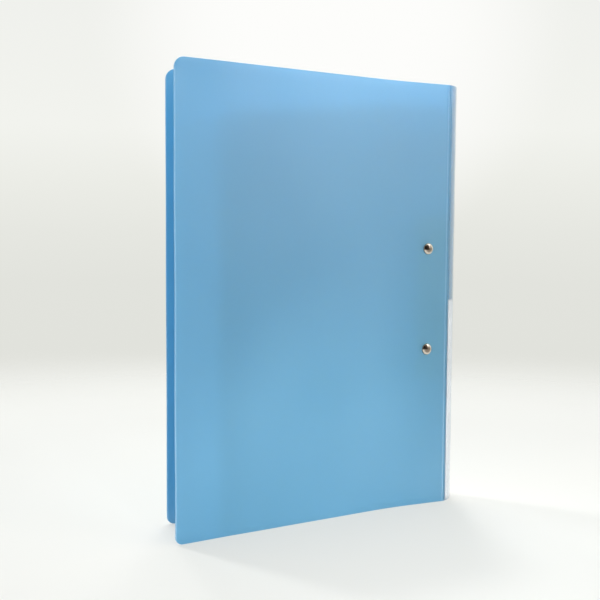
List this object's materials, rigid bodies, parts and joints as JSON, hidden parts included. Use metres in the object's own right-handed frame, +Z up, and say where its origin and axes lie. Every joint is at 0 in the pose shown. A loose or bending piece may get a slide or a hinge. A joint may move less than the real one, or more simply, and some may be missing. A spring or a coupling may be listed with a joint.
{
  "type": "clip file folder",
  "caption": "Translucent plastic file with hinged covers, a bowed spine with a clear label pocket, and a riveted lever clip that grips unpunched sheets.",
  "frame": {"origin": "middle of the standing file's footprint, on the surface that it stands on", "axes": "+Z up along the spine, +X from the free edges of the covers towards the spine, +Y from the back cover towards the front cover"},
  "size_m": [0.2638, 0.0566, 0.335],
  "materials": {
    "polypropylene": "satin translucent",
    "clear_film": "clear gloss",
    "label_card": "matte",
    "nickel": "polished nickel plate",
    "plated_steel": "bright plated",
    "spring_wire": "drawn wire",
    "vinyl": "matte"
  },
  "bodies": {
    "back": {"back_cover": "polypropylene", "upper_rivet": "nickel", "lower_rivet": "nickel", "clip_base": "plated_steel", "base_grip_strip": "vinyl", "jaw_rod": "plated_steel", "upper_lever_pin": "plated_steel", "lower_lever_pin": "plated_steel"},
    "spine": {"spine_panel": "polypropylene", "label_pocket": "clear_film"},
    "label": {"spine_label": "label_card"},
    "front": {"front_cover": "polypropylene"},
    "jaw": {"clamp_jaw": "plated_steel", "jaw_grip_strip": "vinyl", "upper_jaw_spring": "spring_wire", "lower_jaw_spring": "spring_wire"},
    "lever": {"clip_lever": "plated_steel", "lever_sleeve": "vinyl"}
  },
  "joints": [
    {"name": "back_crease", "type": "hinge", "parent": "back", "child": "spine", "pos_m": [0.11247, -0.01484, 0.1675], "axis": [0, 0, -1], "range_deg": [0, 100]},
    {"name": "front_crease", "type": "hinge", "parent": "spine", "child": "front", "pos_m": [0.13029, 0.00759, 0.1675], "axis": [0, 0, -1], "range_deg": [0, 165]},
    {"name": "label_slide", "type": "slide", "parent": "spine", "child": "label", "axis": [0, 0, 1], "range_m": [0, 0.3]},
    {"name": "jaw_pivot", "type": "hinge", "parent": "back", "child": "jaw", "pos_m": [0.10181, -0.00863, 0.1656], "axis": [0, 0, -1], "range_deg": [0, 23], "stiffness_Nm_per_rad": 0.3, "springref_deg": -17.19},
    {"name": "lever_pivot", "type": "hinge", "parent": "back", "child": "lever", "pos_m": [0.10667, -0.00234, 0.1656], "axis": [0, 0, -1], "range_deg": [0, 46]}
  ],
  "couplings": [
    {"joint": "jaw_pivot", "follows": "lever_pivot", "ratio": 0.5}
  ]
}
